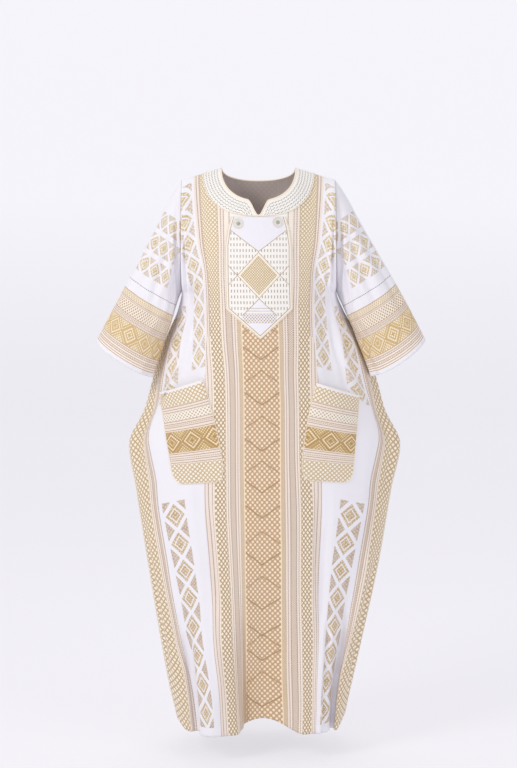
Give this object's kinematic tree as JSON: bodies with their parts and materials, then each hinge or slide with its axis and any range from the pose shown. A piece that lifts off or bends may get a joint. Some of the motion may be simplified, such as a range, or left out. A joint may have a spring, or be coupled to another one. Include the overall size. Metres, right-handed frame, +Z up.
{
  "type": "grand boubou robe",
  "caption": "Loose ankle-length boubou robe with elbow sleeves, a banded notched neck, a pointed bib and two slanted patch pockets.",
  "frame": {"origin": "on the shoulder line at the middle of the neck, where the wearer's shoulders carry the robe", "axes": "+Z up from the hem to the neck, +X towards the viewer's right, -Y towards the front, where the bib and pockets are"},
  "size_m": [0.82, 0.3201, 1.3906],
  "materials": {
    "woven_cloth": "soft satin brocade",
    "gold_woven_cloth": "soft satin brocade with gold yarn",
    "white_embroidered_cloth": "matte cotton with raised stitching"
  },
  "bodies": {
    "root": {"front": "woven_cloth", "back": "woven_cloth", "sleeve_left": "woven_cloth", "sleeve_right": "woven_cloth", "neck_band_front": "white_embroidered_cloth", "neck_band_back": "white_embroidered_cloth", "bib": "white_embroidered_cloth", "pocket_left": "gold_woven_cloth", "pocket_right": "gold_woven_cloth"}
  },
  "joints": []
}
